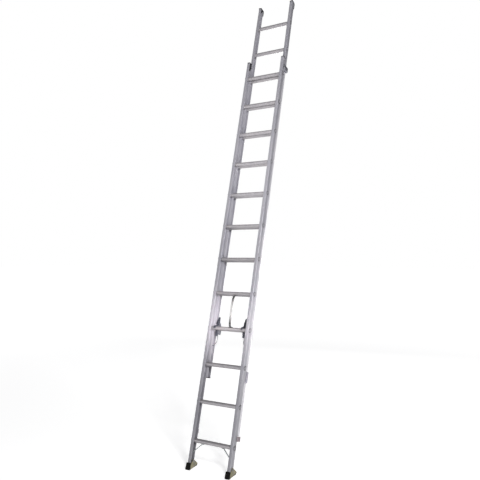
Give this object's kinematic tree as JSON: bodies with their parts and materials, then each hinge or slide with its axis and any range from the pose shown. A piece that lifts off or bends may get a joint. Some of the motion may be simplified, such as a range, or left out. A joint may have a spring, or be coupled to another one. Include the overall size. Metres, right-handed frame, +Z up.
{
  "type": "extension ladder",
  "caption": "Two-section aluminium extension ladder with D-shaped rungs, rung locks, a hand strap and swivelling rubber-padded shoes, leaning as in use.",
  "frame": {"origin": "on the floor, midway between the pivots of the two shoes", "axes": "+X to the user's right along the rungs, +Y away from the user towards the wall, +Z up; the ladder leans 16 degrees from +Z towards +Y"},
  "size_m": [0.4106, 1.3389, 4.2504],
  "materials": {
    "rail_aluminium": "mill finish, lengthwise extrusion lines",
    "rung_aluminium": "mill finish with a grooved tread",
    "track_aluminium": "bright mill finish",
    "strap_aluminium": "bright rolled bar",
    "brace_steel": "dull plated",
    "guide_steel": "dull dark",
    "lock_steel": "dark blue-grey, slightly rough",
    "plated_steel": "plated, dull",
    "spring_steel": "drawn wire",
    "bolt_steel": "plated",
    "zinc_plate": "yellow zinc, worn",
    "black_rubber": "ribbed, matt",
    "black_plastic": "moulded, matt"
  },
  "bodies": {
    "base": {"base_rail_L": "rail_aluminium", "base_rail_R": "rail_aluminium", "base_rung_1": "rung_aluminium", "base_rung_2": "rung_aluminium", "base_rung_3": "rung_aluminium", "base_rung_4": "rung_aluminium", "base_rung_5": "rung_aluminium", "base_rung_6": "rung_aluminium", "base_rung_7": "rung_aluminium", "base_rung_8": "rung_aluminium", "base_rung_9": "rung_aluminium", "base_rung_10": "rung_aluminium", "base_rung_11": "rung_aluminium", "base_rung_12": "rung_aluminium", "brace_L": "brace_steel", "brace_R": "brace_steel", "base_guide_track_L": "track_aluminium", "base_guide_track_R": "track_aluminium", "stop_block_L": "black_plastic", "stop_block_R": "black_plastic", "base_top_guide_L": "guide_steel", "base_top_guide_R": "guide_steel", "base_top_cap_L": "black_plastic", "base_top_cap_R": "black_plastic", "shoe_pivot_bolt_L": "bolt_steel", "shoe_pivot_bolt_R": "bolt_steel", "grab_strap": "strap_aluminium"},
    "fly": {"fly_rail_L": "rail_aluminium", "fly_rail_R": "rail_aluminium", "fly_rung_1": "rung_aluminium", "fly_rung_2": "rung_aluminium", "fly_rung_3": "rung_aluminium", "fly_rung_4": "rung_aluminium", "fly_rung_5": "rung_aluminium", "fly_rung_6": "rung_aluminium", "fly_rung_7": "rung_aluminium", "fly_rung_8": "rung_aluminium", "fly_rung_9": "rung_aluminium", "fly_rung_10": "rung_aluminium", "fly_rung_11": "rung_aluminium", "fly_rung_12": "rung_aluminium", "fly_top_cap_L": "black_plastic", "fly_top_cap_R": "black_plastic", "fly_bottom_guide_L": "black_plastic", "fly_bottom_guide_R": "black_plastic", "lock_bracket_L": "plated_steel", "lock_bracket_R": "plated_steel", "lock_pin_L": "bolt_steel", "lock_pin_R": "bolt_steel", "lock_spring_L": "spring_steel", "lock_spring_R": "spring_steel"},
    "lock_hook_L": {"lock_hook_L": "lock_steel"},
    "lock_finger_L": {"lock_finger_L": "lock_steel"},
    "shoe_L": {"shoe_bracket_L": "zinc_plate", "shoe_pad_L": "black_rubber"},
    "lock_hook_R": {"lock_hook_R": "lock_steel"},
    "lock_finger_R": {"lock_finger_R": "lock_steel"},
    "shoe_R": {"shoe_bracket_R": "zinc_plate", "shoe_pad_R": "black_rubber"}
  },
  "joints": [
    {"name": "fly_slide", "type": "slide", "parent": "base", "child": "fly", "axis": [0, 0.2756, 0.9613], "range_m": [-0.3048, 1.8288]},
    {"name": "lock_hook_L_swing", "type": "hinge", "parent": "fly", "child": "lock_hook_L", "pos_m": [-0.131, 0.33517, 1.1085], "axis": [-1, 0, 0], "range_deg": [0, 109]},
    {"name": "lock_finger_L_swing", "type": "hinge", "parent": "fly", "child": "lock_finger_L", "pos_m": [-0.131, 0.3082, 1.05069], "axis": [-1, 0, 0], "range_deg": [0, 80]},
    {"name": "shoe_L_tilt", "type": "hinge", "parent": "base", "child": "shoe_L", "pos_m": [-0.182, 0, 0.0557], "axis": [1, 0, 0], "range_deg": [-25, 25]},
    {"name": "lock_hook_R_swing", "type": "hinge", "parent": "fly", "child": "lock_hook_R", "pos_m": [0.131, 0.33517, 1.1085], "axis": [-1, 0, 0], "range_deg": [0, 109]},
    {"name": "lock_finger_R_swing", "type": "hinge", "parent": "fly", "child": "lock_finger_R", "pos_m": [0.131, 0.3082, 1.05069], "axis": [-1, 0, 0], "range_deg": [0, 80]},
    {"name": "shoe_R_tilt", "type": "hinge", "parent": "base", "child": "shoe_R", "pos_m": [0.182, 0, 0.0557], "axis": [1, 0, 0], "range_deg": [-25, 25]}
  ]
}
